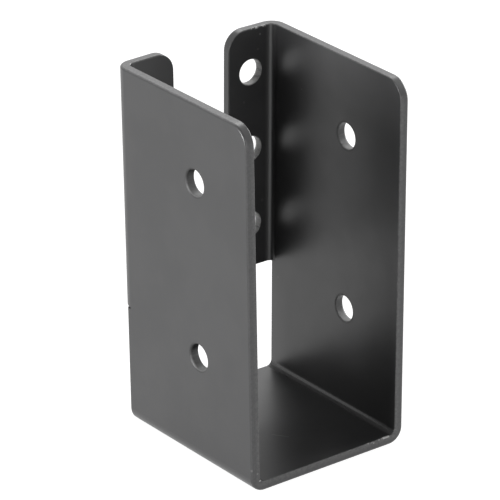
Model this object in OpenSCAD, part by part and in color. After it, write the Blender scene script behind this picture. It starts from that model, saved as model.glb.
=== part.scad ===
// Concealed joist hanger, folded from one sheet of steel and powder coated.
// A seat and two sides make a shoe that is open to the front, -Y. Behind it each side is folded
// inwards into a flange with screw holes, which the end of the joist hides. The flanges' back faces
// look along +Y and lie against the carrying beam. The seat's underside is at z = 0, and the origin
// is below the middle of the whole hanger.

/* [Shoe] */
// Clear width between the two sides at the seat
pocket_w = 39.4; // [32:0.1:150]
// Height of the sides above the seat's underside
side_h = 90; // [78:1:200]
// Depth from the front edges to the back faces of the flanges
hanger_d = 49.2; // [36:0.2:120]
// How far the sides' free back edges stand past the start of the flange folds
edge_past_fold = 1.4; // [0:0.1:2]

/* [Sheet] */
// Thickness of the sheet with its coating
sheet_t = 2.3; // [1.2:0.1:4]
// Inner radius of every fold
fold_r = 1.4; // [0.8:0.1:3.5]
// Angle by which each side springs back outwards from square, in degrees
splay = 0.7; // [0:0.1:3]
// Rounding of the cut edges and hole rims on the outer faces, where the punch went in
roll_r = 0.55; // [0.1:0.05:0.7]
// Rounding of those on the inner faces, where the punch came out
burr_r = 0.2; // [0.05:0.05:0.4]
// Radius of the sides' free corners
corner_r = 5; // [1:0.5:9]

/* [Flanges] */
// Width of a flange, from the outer face of its side to its free edge
flange_w = 15.1; // [13:0.1:20]
// Height of a flange, from its lower edge to the top of the hanger
flange_h = 60.2; // [48:0.1:80]
// Radius of the flanges' free corners
flange_corner_r = 4.7; // [1:0.1:9]

/* [Side holes] */
// Diameter of the holes in the sides
side_hole_d = 6.3; // [3:0.1:16]
// Distance of the side holes from the front edge
side_hole_y = 19.3; // [10:0.1:32]
// Height of the lower side hole above the seat's underside
side_hole_z = 27.3; // [12:0.1:35]
// Distance between the two holes of a side
side_hole_pitch = 43.4; // [20:0.1:52]

/* [Flange holes] */
// Diameter of the holes in the flanges
flange_hole_d = 6.2; // [3:0.1:8]
// Distance of the flange holes from the outer face of the side
flange_hole_x = 8.8; // [8:0.1:10]
// Distance between neighbouring holes of a flange
flange_hole_pitch = 19.3; // [10:0.1:22]
// Number of holes in each flange
flange_hole_count = 3; // [1:1:3]

/* [Hidden] */
$fn = 96;
coating = [0.15, 0.15, 0.155];
// The lean of a side: splay, brought to an angle whose cosine has six decimals, so that the leaning
// faces meet the upright ones flush
lean = round(acos(round(cos(splay) * 1e6) / 1e6) * 1e4) / 1e4;
// Outer radius of every fold
fold_out_r = fold_r + sheet_t;
// The middle of the hanger to a side's outer face, at the seat
half_w = pocket_w / 2 + sheet_t;
// Where the sides end and the flange folds begin, measured from the front edges
fold_y = hanger_d - fold_out_r;
// Depth of the seat and of the sides below the flanges
seat_d = fold_y + edge_past_fold;
// Top of an upright side which, once it leans out, reaches just side_h
top_z = fold_out_r + (side_h - fold_out_r + (fold_r + burr_r) * sin(lean)) / cos(lean);
// Lower edge of the flanges
flange_z = top_z - flange_h;
// How far a cutter runs past the sheet
past = 1;

// Outline of the sheet's section along +X from 0 to len, with its far cut edge rounded. The sheet's
// outer face is at y = 0 and its inner face at y = sheet_t.
module one_cut_edge(len) {
    square([len - roll_r, sheet_t]);
    translate([0, roll_r]) {
        square([len - burr_r, sheet_t - roll_r]);
        square([len, sheet_t - roll_r - burr_r]);
    }
    translate([len - roll_r, roll_r])
        circle(roll_r);
    translate([len - burr_r, sheet_t - burr_r])
        circle(burr_r);
}

// The same section with both of its ends rounded
module two_cut_edges(len) {
    translate([len / 2, 0]) {
        one_cut_edge(len / 2);
        mirror([1, 0])
            one_cut_edge(len / 2);
    }
}

// The end of a plate that stands in XZ, up to a rounded edge at z = corner and a round corner
module plate_end(width, corner) {
    translate([width - corner, 0, 0]) {
        rotate([0, -90, 0])
            linear_extrude(width - corner)
                one_cut_edge(corner);
        mirror([0, 1, 0])
            rotate([90, 0, 0])
                rotate_extrude(angle = 90)
                    one_cut_edge(corner);
    }
}

// A plate in XZ from its fold at x = 0 to its free edge, with its outer face at y = 0 and its inner
// face at y = sheet_t. Its lower end is either a free edge with a round corner or the square start
// of what carries on below.
module plate(width, height, corner, free_below) {
    below = free_below ? corner : 0;
    translate([0, 0, below])
        linear_extrude(height - corner - below)
            one_cut_edge(width);
    translate([0, 0, height - corner])
        plate_end(width, corner);
    if (free_below)
        translate([0, 0, corner])
            mirror([0, 0, 1])
                plate_end(width, corner);
}

// Cutter for a round hole along +Y through a sheet, from its inner face at y = 0 to its outer face
// at y = sheet_t, with rounded rims
module hole(d) {
    r = d / 2;
    rotate([-90, 0, 0])
        rotate_extrude() {
            translate([0, -past])
                square([r, sheet_t + 2 * past]);
            rim_cut(r, burr_r);
            translate([0, sheet_t])
                mirror([0, 1])
                    rim_cut(r, roll_r);
        }
}

// Half section of what a rounded rim takes from the sheet's lower face
module rim_cut(r, rim) {
    difference() {
        translate([0, -past])
            square([r + rim, rim + past]);
        translate([r + rim, rim])
            circle(rim);
    }
}

// The seat, a band of sheet between the two lower folds
module seat() {
    translate([fold_out_r - half_w, 0, 0])
        rotate([90, 0, 90])
            linear_extrude(2 * (half_w - fold_out_r))
                two_cut_edges(seat_d);
}

// The fold from the seat up into the right side
module seat_fold() {
    translate([half_w - fold_out_r, seat_d, fold_out_r])
        rotate([90, 0, 0])
            rotate([0, 0, -90])
                rotate_extrude(angle = 90 - lean)
                    translate([fold_out_r, 0])
                        rotate(90)
                            two_cut_edges(seat_d);
}

// The right side, upright, with its flange and without the holes
module side_sheet() {
    // Below the flange
    translate([half_w, 0, fold_out_r])
        rotate(90)
            linear_extrude(flange_z - fold_out_r)
                two_cut_edges(seat_d);
    // Beside the flange, up to the top
    translate([half_w, fold_y, flange_z])
        rotate(-90)
            mirror([0, 1, 0])
                plate(fold_y, flange_h, corner_r, false);
    // Flange fold
    translate([half_w - fold_out_r, fold_y, flange_z])
        rotate_extrude(angle = 90)
            translate([fold_out_r, 0])
                rotate(90)
                    two_cut_edges(flange_h);
    // Flange
    translate([half_w - fold_out_r, hanger_d, flange_z])
        rotate(180)
            plate(flange_w - fold_out_r, flange_h, flange_corner_r, true);
}

// The right side with its flange and holes, leaning out by the spring-back of the seat's fold
module side() {
    translate([half_w - fold_out_r, 0, fold_out_r])
        rotate([0, lean, 0])
            translate([fold_out_r - half_w, 0, -fold_out_r])
                difference() {
                    side_sheet();
                    for (i = [0, 1])
                        translate([half_w - sheet_t, side_hole_y, side_hole_z + i * side_hole_pitch])
                            rotate(-90)
                                hole(side_hole_d);
                    for (i = [0 : flange_hole_count - 1])
                        translate([half_w - flange_hole_x, hanger_d - sheet_t,
                                   flange_z + flange_h / 2
                                   + (i - (flange_hole_count - 1) / 2) * flange_hole_pitch])
                            hole(flange_hole_d);
                }
}

// The whole hanger: one folded sheet
module hanger() {
    color(coating)
        translate([0, -hanger_d / 2, 0]) {
            seat();
            for (s = [0, 1])
                mirror([s, 0, 0]) {
                    seat_fold();
                    side();
                }
        }
}

hanger();
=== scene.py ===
"""Looks of the concealed joist hanger: satin black powder coat on a folded steel sheet.

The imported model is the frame. Lengths are in metres and angles in degrees, but places, sizes and
heights on the coat are in millimetres.
"""

import math

import bpy
from mathutils import Matrix, Vector


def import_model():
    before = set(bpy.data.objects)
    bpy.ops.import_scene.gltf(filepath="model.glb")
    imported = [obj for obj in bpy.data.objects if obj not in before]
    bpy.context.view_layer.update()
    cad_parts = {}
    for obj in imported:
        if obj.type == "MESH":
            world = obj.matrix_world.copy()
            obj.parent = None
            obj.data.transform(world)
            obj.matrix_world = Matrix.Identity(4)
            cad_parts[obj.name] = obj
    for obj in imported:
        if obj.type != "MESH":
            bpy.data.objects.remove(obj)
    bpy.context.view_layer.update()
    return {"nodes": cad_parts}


MILLIMETRE = 0.001
WHITE = (1.0, 1.0, 1.0, 1.0)

# Camera: the photograph's view of the hanger, its azimuth from the front, -Y, towards +X
VIEW_AZIMUTH = -37.278
VIEW_ELEVATION = 24.543
VIEW_ROLL = 0.416
VIEW_TARGET = Vector((-0.00199, 0.00180, 0.04587))
VIEW_DISTANCE = 0.95812
LENS_MM = 300.76
SENSOR_MM = 36.0
CLIP_START = 0.05
CLIP_END = 50.0

# Colours of the coat
COAT_DARK = (0.022, 0.022, 0.023, 1.0)
COAT_PALE = (0.028, 0.028, 0.029, 1.0)
# Cut edges: partly a paler coat on the cut, partly a painted highlight
CUT_AND_HIGHLIGHT_COLOUR = (0.12, 0.12, 0.121, 1.0)
# Painted shade, at the foot of the seat folds and round the rims of the side holes
PAINTED_SHADE_COLOUR = (0.012, 0.012, 0.012, 1.0)
# Painted highlight at the start of the flange folds
CREASE_HIGHLIGHT_COLOUR = (0.085, 0.085, 0.086, 1.0)
# Hole walls; in the left side's holes their dark top and pale bottom are painted shade and light
BORE_DARK = (0.01, 0.01, 0.01, 1.0)
BORE_MID = (0.05, 0.05, 0.05, 1.0)
BORE_PALE = (0.17, 0.17, 0.17, 1.0)
BORE_BARE = (0.4, 0.4, 0.395, 1.0)
BARE_COLOUR = (0.62, 0.62, 0.61, 1.0)

# Gloss of the coat, and how much its roughness changes where it is uneven, grained and so on
COAT_IOR = 1.6
COAT_ROUGHNESS = 0.36
UNEVEN_ROUGHNESS = 0.02
GRAIN_ROUGHNESS = 0.06
WORN_ROUGHNESS = 0.14
DULL_ROUGHNESS = 0.35
GLOSSY_ROUGHNESS = -0.1

# Relief of the coat: orange peel, cut edges and flange hole walls, side hole walls, and chips
PEEL_HEIGHT = 0.006
CUT_HEIGHT = 0.03
SIDE_BORE_HEIGHT = 0.05
CHIP_HEIGHT = -0.03

# Noises: waves per millimetre, detail and roughness
CLOUD_NOISE = (0.07, 3.0, 0.55)
MOTTLE_NOISE = (1.6, 4.0, 0.65)
GRAIN_NOISE = (4.5, 2.0, 0.5)
SHEEN_NOISE = (0.16, 4.0, 0.6)
PEEL_NOISE = (0.9, 3.0, 0.5)
STREAK_NOISE = (1.0, 3.0, 0.6)
CHIP_NOISE = (2.2, 3.0, 0.6)
NOISE_MEAN = 0.5
# Where in a noise one look turns into the other
CLOUD_RANGE = (0.35, 0.65)
SHEEN_RANGE = (0.3, 0.7)
MOTTLE_RANGE = (0.3, 0.7)
# Share of the cut edges' colour where their mottling is weakest
MOTTLE_LEAST = 0.4

# The hanger's faces. The sides lean outwards by this share of their height.
FRONT_Y = -24.6
TOP_Z = 90.0
SEAT_Z = 2.3
FLANGE_FRONT_Y = 22.3
SIDE_X = 21.955
LEAN = 0.01225

# Cut edges: from the cut inwards, where their look ends and where it is full. Their pale colour
# is partly a paler coat on the cut and partly a painted highlight.
CUT_END = 0.4
CUT_FULL = 0.1
# Depths from the outer face over which the cut turns from sheared to broken, and the look's
# share where it is sheared
BROKEN_DEPTHS = (0.9, 2.1)
SHEARED_SHARE = 0.45

# Holes: from the wall outwards, where the look of walls and rims ends and where it is full
SIDE_HOLES = {"y": -5.3, "z": 48.965, "apart": 43.4, "radius": 3.15}
FLANGE_HOLES = {"x": 13.889, "z": 59.984, "apart": 19.3, "radius": 3.1}
WALL_END = 0.3
WALL_FULL = 0.08
# The side holes' rims are darkened with painted shade
RIM_END = 0.62
RIM_FULL = 0.3
# Streaks that run through the sheet, as the punch drew them: how each axis scales their noise
SIDE_STREAKS = (0.35, 1.3, 1.3)
FLANGE_STREAKS = (1.3, 0.35, 1.3)
# Heights over a side hole's middle between which its wall turns pale, and how far the streaks
# shift them in all. In the left side the dark top and pale bottom are painted shade and light.
LEFT_BORE_RANGE = (1.0, -3.2)
RIGHT_BORE_RANGE = (0.6, 3.0)
STREAK_HEIGHT = 4.0
# Where in the streaks' noise the walls of the flange holes turn bare
FLANGE_BORE_RANGE = (0.3, 0.55)

# Seat folds: where they start and end in X, and the heights of their rougher and glossy parts.
# The rougher foot is darkened with painted shade.
SEAT_FOLD_START = (18.2, 18.5)
SEAT_FOLD_END = 19.95
DULL_RANGE = (2.85, 2.6)
GLOSSY_START = (2.65, 2.85)
GLOSSY_END = (3.4, 3.1)
SEAT_SLACK = 0.02

# Painted highlight at the start of the flange folds: where it starts and ends in X, the lean taken
# off, and where it starts in Y
CREASE_START = (17.3, 18.6)
CREASE_END = (19.2, 18.95)
CREASE_DEPTH = (21.3, 21.6)
FLANGE_SLACK = 0.05

# Chips and pale specks in the coat: centre, radius and how bare it is
SPECKS = (
    ((-19.71, -24.5, 2.75), 0.26, 1.0),
    ((-20.39, -24.5, 4.77), 0.28, 0.22),
    ((-21.9, -24.4, 5.92), 0.3, 0.14),
    ((16.98, 22.3, 88.06), 0.26, 0.16),
    ((16.37, 22.3, 84.48), 0.3, 0.06),
    ((12.18, 22.3, 72.16), 0.3, 0.05),
    ((20.62, 11.34, 76.9), 0.26, 0.06),
    ((19.98, 19.77, 26.17), 0.3, 0.05),
    ((17.3, 22.3, 46.0), 0.4, 0.04),
    ((20.2, -24.5, 70.5), 0.28, 0.35),
    ((13.45, -24.6, 1.9), 0.24, 0.6),
)
# As shares of its radius: how ragged a speck is, where it ends and where it is full
SPECK_RAGGED = 1.2
SPECK_END = 1.15
SPECK_FULL = 0.7
# Worn edges along X: their place, their run, and how patchy and how bare they are
WORN_EDGES = (
    {
        "y": -24.5, "z": 2.3, "x": (16.2, 18.1),
        "radius": 0.42, "waves": 0.9, "from": 0.3, "bare": 1.0,
    },
    {
        "y": -24.5, "z": 2.25, "x": (11.5, 16.4),
        "radius": 0.3, "waves": 0.9, "from": 0.5, "bare": 0.6,
    },
    {
        "y": 22.35, "z": 89.9, "x": (14.5, 18.6),
        "radius": 0.36, "waves": 0.8, "from": 0.45, "bare": 0.7,
    },
)
# Where a worn edge is full, as a share of its radius, and the detail and roughness of its patches
WORN_FULL = 0.5
PATCH_NOISE = (3.0, 0.6)
PATCH_RANGE = 0.07
# Scratch on the seat. Its full part is a share of its radius.
SCRATCH_START = Vector((-2.8, -7.25, 2.3))
SCRATCH_END = Vector((-0.45, -10.5, 2.3))
SCRATCH_RADIUS = 0.13
SCRATCH_FULL = 0.4
SCRATCH_BARE = 0.12

# Surroundings
ROOM_LIGHT = 0.02
FLOOR_SIZE = 6.0
# Just below the hanger, so that its underside and the floor never share a plane
FLOOR_Z = -0.0001
FLOOR_COLOUR = (0.3, 0.3, 0.3, 1.0)
FLOOR_GLOW = 0.94
SOFTBOX_DISTANCE = 1.2
# Softboxes: azimuth as the camera's, elevation, width and height, brightness
SOFTBOXES = {
    "left_softbox": (267, 5, (0.3, 0.6), 37.0),
    "right_softbox": (90, 15, (0.6, 0.8), 12.6),
    "front_softbox": (0, 12, (0.7, 0.7), 2.3),
    "back_softbox": (142, 50, (0.6, 0.6), 4.5),
}


def add_facing(name, data, azimuth, elevation, distance, roll=0.0):
    """An object with this data that looks at the middle of the hanger from some distance."""
    azimuth, elevation = math.radians(azimuth), math.radians(elevation)
    outwards = Vector((
        math.sin(azimuth) * math.cos(elevation),
        -math.cos(azimuth) * math.cos(elevation),
        math.sin(elevation),
    ))
    thing = bpy.data.objects.new(name, data)
    bpy.context.scene.collection.objects.link(thing)
    place = Matrix.Translation(VIEW_TARGET + outwards * distance)
    facing = outwards.to_track_quat("Z", "Y").to_matrix().to_4x4()
    thing.matrix_world = place @ facing @ Matrix.Rotation(math.radians(-roll), 4, "Z")
    return thing


def add_camera():
    data = bpy.data.cameras.new("camera")
    data.lens = LENS_MM
    data.sensor_width = SENSOR_MM
    data.clip_start = CLIP_START
    data.clip_end = CLIP_END
    view = (VIEW_AZIMUTH, VIEW_ELEVATION, VIEW_DISTANCE, VIEW_ROLL)
    bpy.context.scene.camera = add_facing("camera", data, *view)


def new_material(name):
    material = bpy.data.materials.new(name)
    material.use_nodes = True
    material.node_tree.nodes.clear()
    return material, material.node_tree


def add_node(tree, kind, **values):
    """A shader node, with values for its input sockets by name or attributes of its own."""
    node = tree.nodes.new(kind)
    for name, value in values.items():
        socket = name.replace("_", " ")
        if socket in node.inputs:
            node.inputs[socket].default_value = value
        else:
            setattr(node, name, value)
    return node


class Graph:
    """Short calls for the shader nodes of the coat. Its places are in millimetres."""

    def __init__(self, tree):
        self.tree = tree
        place = add_node(tree, "ShaderNodeTexCoord")
        self.place = self.vector("SCALE", place.outputs["Object"], scale=1.0 / MILLIMETRE)
        parts = add_node(tree, "ShaderNodeSeparateXYZ")
        tree.links.new(self.place, parts.inputs[0])
        self.x, self.y, self.z = parts.outputs
        self.wide = self.math("ABSOLUTE", self.x)

    def put(self, socket, value):
        """Links another node's output to the socket, or sets the socket's own value."""
        if hasattr(value, "is_linked"):
            self.tree.links.new(value, socket)
        else:
            socket.default_value = value

    def fill(self, node, values):
        """Puts the values into the node's first sockets, in their order."""
        for socket, value in zip(node.inputs, values):
            self.put(socket, value)

    def math(self, operation, *values):
        node = add_node(self.tree, "ShaderNodeMath", operation=operation)
        self.fill(node, values)
        return node.outputs[0]

    def vector(self, operation, *values, scale=None, result=0):
        node = add_node(self.tree, "ShaderNodeVectorMath", operation=operation)
        self.fill(node, values)
        if scale is not None:
            self.put(node.inputs["Scale"], scale)
        return node.outputs[result]

    def distance(self, first, second):
        return self.vector("DISTANCE", first, second, result=1)

    def length(self, across, along):
        """Length of a line that runs this far across and this far along."""
        across = self.math("MULTIPLY", across, across)
        return self.math("SQRT", self.math("ADD", across, self.math("MULTIPLY", along, along)))

    def fade(self, value, start, end, low=0.0, high=1.0):
        """Smooth step from low at start to high at end."""
        node = add_node(self.tree, "ShaderNodeMapRange", interpolation_type="SMOOTHSTEP")
        self.fill(node, (value, start, end, low, high))
        return node.outputs[0]

    def noise(self, waves, detail, roughness, at=None):
        """Noise around NOISE_MEAN with some waves per millimetre."""
        values = {"Scale": waves, "Detail": detail, "Roughness": roughness}
        node = add_node(self.tree, "ShaderNodeTexNoise", **values)
        self.put(node.inputs["Vector"], at or self.place)
        return node.outputs["Fac"]

    def blend(self, share, first, second):
        """The first colour where the share is 0, and the second where it is 1."""
        node = add_node(self.tree, "ShaderNodeMix", data_type="RGBA")
        colours = [socket for socket in node.inputs if socket.type == "RGBA"]
        self.put(node.inputs["Factor"], share)
        self.put(colours[0], first)
        self.put(colours[1], second)
        return next(socket for socket in node.outputs if socket.type == "RGBA")

    def most(self, first, *others):
        for share in others:
            first = self.math("MAXIMUM", first, share)
        return first

    def product(self, first, *others):
        for share in others:
            first = self.math("MULTIPLY", first, share)
        return first


def side_hole_shares(g):
    """1 on the walls of the side holes, and 1 on their walls and rims."""
    across = g.math("SUBTRACT", g.y, SIDE_HOLES["y"])
    height = g.math("ABSOLUTE", g.math("SUBTRACT", g.z, SIDE_HOLES["z"]))
    height = g.math("SUBTRACT", height, SIDE_HOLES["apart"] / 2)
    away = g.math("SUBTRACT", g.length(across, height), SIDE_HOLES["radius"])
    return g.fade(away, WALL_END, WALL_FULL), g.fade(away, RIM_END, RIM_FULL)


def flange_hole_share(g):
    """1 on the walls of the flange holes, whose rows lean with the sides."""
    rise = g.math("SUBTRACT", g.z, FLANGE_HOLES["z"])
    across = g.math("SUBTRACT", g.wide, g.math("MULTIPLY_ADD", rise, LEAN, FLANGE_HOLES["x"]))
    middle = g.math("ABSOLUTE", rise)
    outer = g.math("ABSOLUTE", g.math("SUBTRACT", middle, FLANGE_HOLES["apart"]))
    away = g.length(across, g.math("MINIMUM", middle, outer))
    return g.fade(g.math("SUBTRACT", away, FLANGE_HOLES["radius"]), WALL_END, WALL_FULL)


def cut_share(g):
    """1 on the cut edges at the front and the top, but less where the front was sheared."""
    front = g.fade(g.y, FRONT_Y + CUT_END, FRONT_Y + CUT_FULL)
    top = g.fade(g.z, TOP_Z - CUT_END, TOP_Z - CUT_FULL)
    # Depth into the sheet from its outer face, at the sides and at the seat
    side = g.math("SUBTRACT", g.math("MULTIPLY_ADD", g.z, LEAN, SIDE_X), g.wide)
    broken = g.fade(g.math("MINIMUM", side, g.z), *BROKEN_DEPTHS, SHEARED_SHARE, 1.0)
    return g.most(g.product(front, broken), top)


def seat_fold_shares(g):
    """1 at the rougher foot of the two seat folds, darkened with painted shade, and 1 in their
    glossier upper half.
    """
    above = g.math("GREATER_THAN", g.z, SEAT_Z - SEAT_SLACK)
    before = g.math("LESS_THAN", g.wide, SEAT_FOLD_END)
    inside = g.product(g.fade(g.wide, *SEAT_FOLD_START), above, before)
    glossy = g.product(g.fade(g.z, *GLOSSY_START), g.fade(g.z, *GLOSSY_END), inside)
    return g.product(g.fade(g.z, *DULL_RANGE), inside), glossy


def crease_highlight_share(g):
    """1 at the start of the flange folds on the inside, where a paler colour paints a highlight.
    """
    upright = g.math("MULTIPLY_ADD", g.z, -LEAN, g.wide)
    across = g.product(g.fade(upright, *CREASE_START), g.fade(upright, *CREASE_END))
    before = g.math("LESS_THAN", g.y, FLANGE_FRONT_Y + FLANGE_SLACK)
    return g.product(across, g.fade(g.y, *CREASE_DEPTH), before)


def bare_share(g):
    """1 where the coat is chipped or worn off: single specks, and patches along worn edges."""
    ragged = g.math("SUBTRACT", g.noise(*CHIP_NOISE), NOISE_MEAN)
    shares = []
    for centre, radius, bare in SPECKS:
        away = g.math("MULTIPLY_ADD", ragged, radius * SPECK_RAGGED, g.distance(g.place, centre))
        shares.append(g.fade(away, radius * SPECK_END, radius * SPECK_FULL, 0.0, bare))
    for edge in WORN_EDGES:
        away = g.length(g.math("SUBTRACT", g.y, edge["y"]), g.math("SUBTRACT", g.z, edge["z"]))
        near = g.fade(away, edge["radius"], edge["radius"] * WORN_FULL)
        start, end = edge["x"]
        run = g.product(g.math("GREATER_THAN", g.x, start), g.math("LESS_THAN", g.x, end))
        patches = g.noise(edge["waves"], *PATCH_NOISE)
        patchy = g.fade(patches, edge["from"], edge["from"] + PATCH_RANGE)
        shares.append(g.product(near, run, patchy, edge["bare"]))
    return g.most(*shares)


def scratch_share(g):
    """1 along the scratch."""
    run = SCRATCH_END - SCRATCH_START
    along = g.vector("DOT_PRODUCT", g.vector("SUBTRACT", g.place, SCRATCH_START), run, result=1)
    along = g.math("DIVIDE", along, run.length_squared)
    along = g.math("MINIMUM", g.math("MAXIMUM", along, 0.0), 1.0)
    nearest = g.vector("ADD", g.vector("SCALE", run, scale=along), SCRATCH_START)
    return g.fade(g.distance(g.place, nearest), SCRATCH_RADIUS, SCRATCH_RADIUS * SCRATCH_FULL)


def streaks(g, axes):
    return g.noise(*STREAK_NOISE, at=g.vector("MULTIPLY", g.place, axes))


def side_bore_colour(g):
    """Walls of the side holes, with streaks in them, paler and darker by height.

    In the left side the top is painted shade and the bottom painted light; in the right side the
    wall turns paler towards the holes' top and bottom.
    """
    rise = g.math("SUBTRACT", g.z, SIDE_HOLES["z"])
    middle = g.math("MULTIPLY", g.math("SIGN", rise), SIDE_HOLES["apart"] / 2)
    rise = g.math("SUBTRACT", rise, middle)
    ragged = g.math("SUBTRACT", streaks(g, SIDE_STREAKS), NOISE_MEAN)
    left = g.math("MULTIPLY_ADD", ragged, STREAK_HEIGHT, rise)
    # Painted shade at the top of the left holes' walls, and painted light towards their bottom
    left = g.blend(g.fade(left, *LEFT_BORE_RANGE), BORE_DARK, BORE_PALE)
    right = g.math("MULTIPLY_ADD", ragged, STREAK_HEIGHT, g.math("ABSOLUTE", rise))
    right = g.blend(g.fade(right, *RIGHT_BORE_RANGE), BORE_MID, BORE_PALE)
    return g.blend(g.math("GREATER_THAN", g.x, 0.0), left, right)


def flange_bore_colour(g):
    """Walls of the flange holes, where the coat is thinnest, with streaks in it."""
    share = g.fade(streaks(g, FLANGE_STREAKS), *FLANGE_BORE_RANGE)
    return g.blend(share, BORE_PALE, BORE_BARE)


def coat_material():
    material, tree = new_material("satin_powder_coat")
    g = Graph(tree)
    side_wall, side_rim = side_hole_shares(g)
    flange_wall = flange_hole_share(g)
    cut, bare, scratch = cut_share(g), bare_share(g), scratch_share(g)
    dull_and_shade, glossy = seat_fold_shares(g)
    mottle = g.noise(*MOTTLE_NOISE)
    mottled_cut = g.product(cut, g.fade(mottle, *MOTTLE_RANGE, MOTTLE_LEAST, 1.0))

    colour = g.blend(g.fade(g.noise(*CLOUD_NOISE), *CLOUD_RANGE), COAT_DARK, COAT_PALE)
    # Painted shade at the foot of the seat folds
    colour = g.blend(dull_and_shade, colour, PAINTED_SHADE_COLOUR)
    # Painted highlight along the start of the flange folds
    colour = g.blend(crease_highlight_share(g), colour, CREASE_HIGHLIGHT_COLOUR)
    # The cut edges are painted paler: partly a paler coat on the cut, partly a painted highlight
    colour = g.blend(mottled_cut, colour, CUT_AND_HIGHLIGHT_COLOUR)
    # Painted shade round the rims of the side holes
    colour = g.blend(side_rim, colour, PAINTED_SHADE_COLOUR)
    colour = g.blend(side_wall, colour, side_bore_colour(g))
    colour = g.blend(flange_wall, colour, flange_bore_colour(g))
    colour = g.blend(g.most(bare, g.product(scratch, SCRATCH_BARE)), colour, BARE_COLOUR)

    low, high = COAT_ROUGHNESS - UNEVEN_ROUGHNESS, COAT_ROUGHNESS + UNEVEN_ROUGHNESS
    rough = g.fade(g.noise(*SHEEN_NOISE), *SHEEN_RANGE, low, high)
    grain = g.math("SUBTRACT", g.noise(*GRAIN_NOISE), NOISE_MEAN)
    rough = g.math("MULTIPLY_ADD", grain, GRAIN_ROUGHNESS, rough)
    rough = g.math("MULTIPLY_ADD", g.most(side_rim, flange_wall, bare), WORN_ROUGHNESS, rough)
    rough = g.math("MULTIPLY_ADD", glossy, GLOSSY_ROUGHNESS, rough)
    rough = g.math("MULTIPLY_ADD", dull_and_shade, DULL_ROUGHNESS, rough)

    coarse = g.product(g.most(cut, flange_wall), CUT_HEIGHT)
    coarse = g.math("MULTIPLY_ADD", side_wall, SIDE_BORE_HEIGHT, coarse)
    height = g.product(g.noise(*PEEL_NOISE), PEEL_HEIGHT)
    height = g.math("MULTIPLY_ADD", g.math("SUBTRACT", mottle, NOISE_MEAN), coarse, height)
    height = g.math("MULTIPLY_ADD", g.most(bare, scratch), CHIP_HEIGHT, height)
    bump = add_node(tree, "ShaderNodeBump", Strength=1.0, Distance=MILLIMETRE)
    g.put(bump.inputs["Height"], height)

    shader = add_node(tree, "ShaderNodeBsdfPrincipled", IOR=COAT_IOR)
    g.put(shader.inputs["Base Color"], colour)
    g.put(shader.inputs["Roughness"], rough)
    g.put(shader.inputs["Normal"], bump.outputs[0])
    output = add_node(tree, "ShaderNodeOutputMaterial")
    tree.links.new(shader.outputs["BSDF"], output.inputs["Surface"])
    return material


def seen_ray(tree):
    """1 for rays that show the background: from the camera, in a reflection or through glass."""
    rays = add_node(tree, "ShaderNodeLightPath")
    both = add_node(tree, "ShaderNodeMath", operation="MAXIMUM")
    tree.links.new(rays.outputs["Is Camera Ray"], both.inputs[0])
    tree.links.new(rays.outputs["Is Glossy Ray"], both.inputs[1])
    seen = add_node(tree, "ShaderNodeMath", operation="MAXIMUM")
    tree.links.new(both.outputs[0], seen.inputs[0])
    tree.links.new(rays.outputs["Is Transmission Ray"], seen.inputs[1])
    return seen.outputs[0]


def add_floor():
    mesh = bpy.data.meshes.new("floor")
    half = FLOOR_SIZE / 2
    corners = ((-half, -half), (half, -half), (half, half), (-half, half))
    mesh.from_pydata([(x, y, FLOOR_Z) for x, y in corners], [], [(0, 1, 2, 3)])
    floor = bpy.data.objects.new("floor", mesh)
    bpy.context.scene.collection.objects.link(floor)
    material, tree = new_material("pale_floor")
    diffuse = add_node(tree, "ShaderNodeBsdfDiffuse", Color=FLOOR_COLOUR)
    glow = add_node(tree, "ShaderNodeEmission", Color=WHITE)
    strength = add_node(tree, "ShaderNodeMath", operation="MULTIPLY")
    strength.inputs[1].default_value = FLOOR_GLOW
    tree.links.new(seen_ray(tree), strength.inputs[0])
    tree.links.new(strength.outputs[0], glow.inputs["Strength"])
    both = add_node(tree, "ShaderNodeAddShader")
    tree.links.new(diffuse.outputs[0], both.inputs[0])
    tree.links.new(glow.outputs[0], both.inputs[1])
    output = add_node(tree, "ShaderNodeOutputMaterial")
    tree.links.new(both.outputs[0], output.inputs["Surface"])
    mesh.materials.append(material)


def add_room():
    """White to the eye and in reflections, and a plain soft light on everything."""
    world = bpy.data.worlds.new("room")
    bpy.context.scene.world = world
    world.use_nodes = True
    tree = world.node_tree
    tree.nodes.clear()
    light = add_node(tree, "ShaderNodeBackground", Color=WHITE, Strength=ROOM_LIGHT)
    white = add_node(tree, "ShaderNodeBackground", Color=WHITE, Strength=1.0)
    mix = add_node(tree, "ShaderNodeMixShader")
    tree.links.new(seen_ray(tree), mix.inputs["Fac"])
    tree.links.new(light.outputs[0], mix.inputs[1])
    tree.links.new(white.outputs[0], mix.inputs[2])
    output = add_node(tree, "ShaderNodeOutputWorld")
    tree.links.new(mix.outputs[0], output.inputs["Surface"])


def add_softbox(name, azimuth, elevation, size, brightness):
    """A rectangular lamp that faces the middle of the hanger. Brightness 1 looks white."""
    data = bpy.data.lights.new(name, "AREA")
    data.shape = "RECTANGLE"
    data.size, data.size_y = size
    data.energy = brightness * math.pi * size[0] * size[1]
    add_facing(name, data, azimuth, elevation, SOFTBOX_DISTANCE)


def main():
    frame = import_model()
    hanger = frame["nodes"]["hanger"]
    hanger.data.materials.clear()
    hanger.data.materials.append(coat_material())
    add_camera()
    add_room()
    add_floor()
    for name, place in SOFTBOXES.items():
        add_softbox(name, *place)
    bpy.context.scene.view_settings.view_transform = "Standard"


main()
